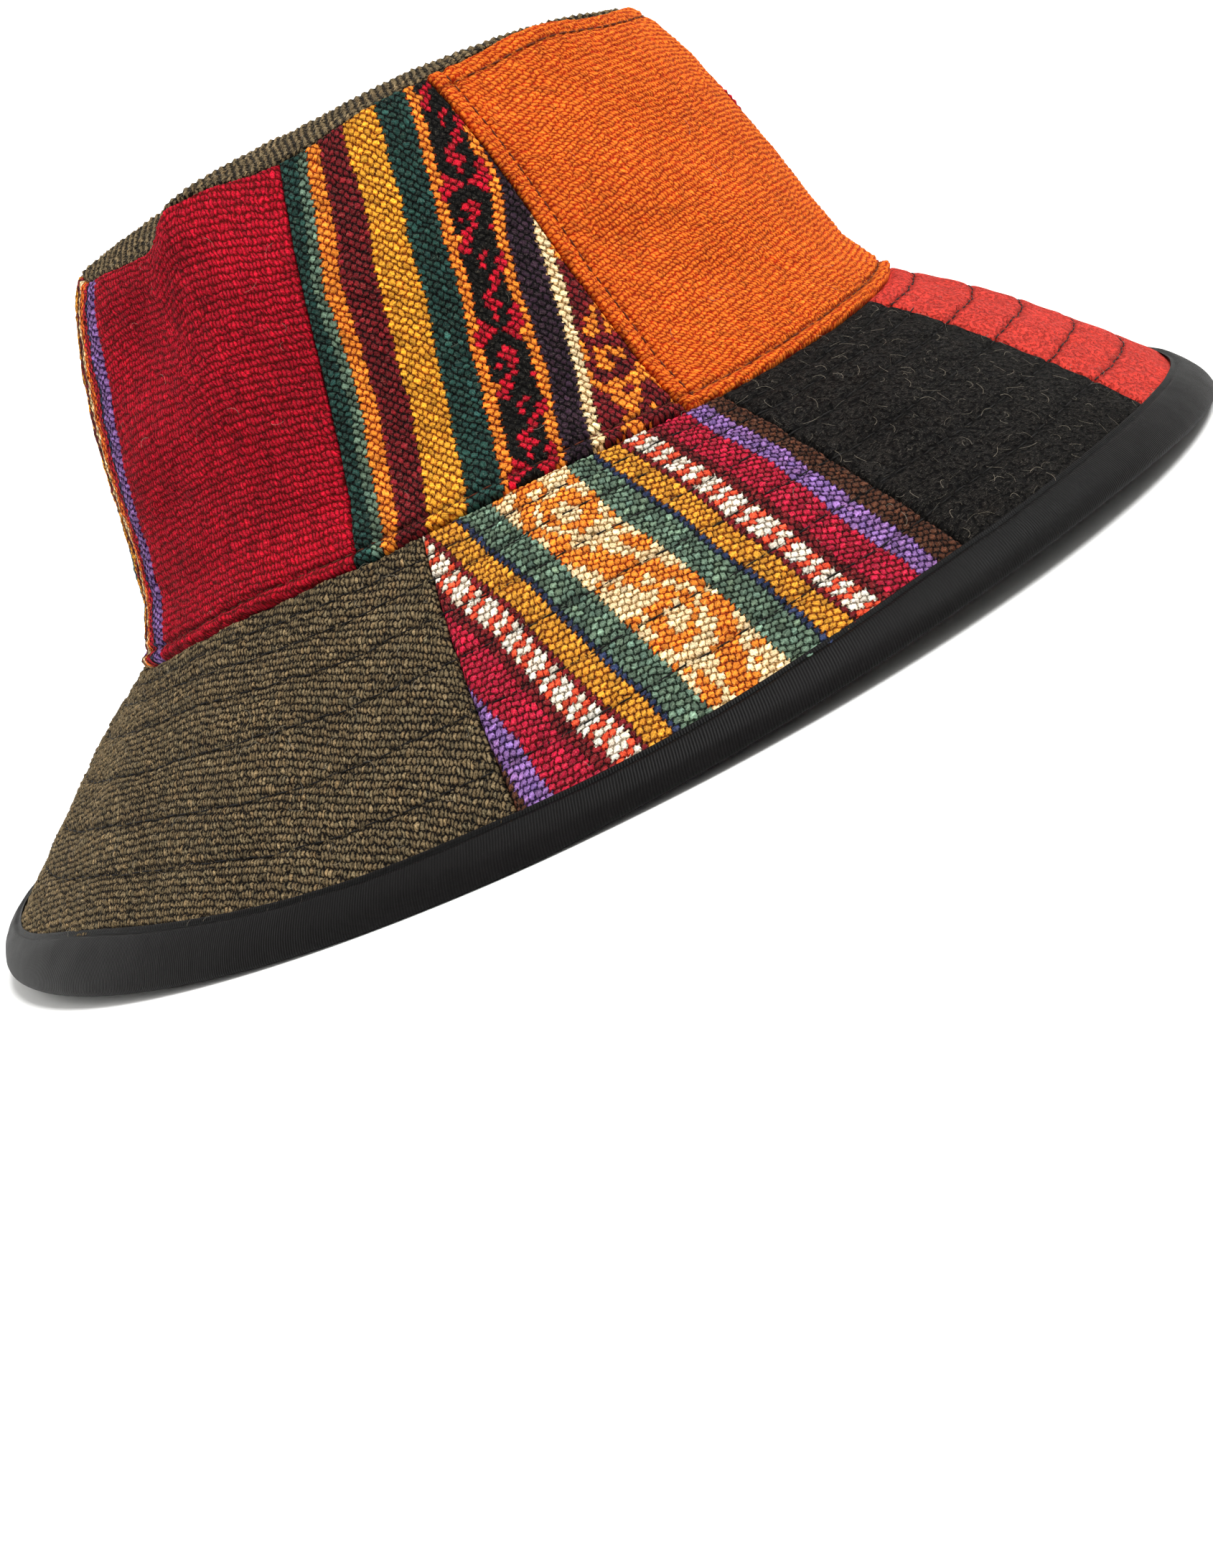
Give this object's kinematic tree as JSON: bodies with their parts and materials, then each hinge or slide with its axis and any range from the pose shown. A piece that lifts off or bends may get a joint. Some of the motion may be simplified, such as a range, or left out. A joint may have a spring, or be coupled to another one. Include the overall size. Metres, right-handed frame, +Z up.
{
  "type": "patchwork bucket hat",
  "caption": "Soft bucket hat of woven cloth patches: domed oval tip, tapered crown and a sloping quilted brim edged with tape.",
  "frame": {"origin": "middle of the hat's length and width, on the surface that the rim rests on", "axes": "+Z up; the wearer faces -Y, the back of the hat is +Y, the wearer's right is -X and the left is +X"},
  "size_m": [0.3028, 0.3268, 0.1475],
  "materials": {
    "olive_twill": "hand-woven wool twill, dull, pebbled",
    "orange_rib": "hand-woven ribbed cotton and wool, dull",
    "crimson_rib": "hand-woven ribbed cotton and wool, dull",
    "striped_cloth": "warp-faced hand-woven cloth in many-coloured stripes, dull",
    "coral_felt": "milled wool, dull and slightly hairy",
    "black_wool": "milled wool, dull and hairy",
    "binding_tape": "smooth bias tape with a soft satin sheen"
  },
  "bodies": {
    "root": {"crown_tip": "olive_twill", "crown_orange": "orange_rib", "crown_striped": "striped_cloth", "crown_crimson": "crimson_rib", "crown_back_striped": "striped_cloth", "crown_rear_left": "coral_felt", "crown_left": "orange_rib", "crown_front_left": "black_wool", "crown_front": "crimson_rib", "brim_coral": "coral_felt", "brim_black": "black_wool", "brim_striped": "striped_cloth", "brim_olive": "olive_twill", "brim_rear_left": "black_wool", "brim_left": "crimson_rib", "brim_front_left": "orange_rib", "brim_binding": "binding_tape"}
  },
  "joints": []
}
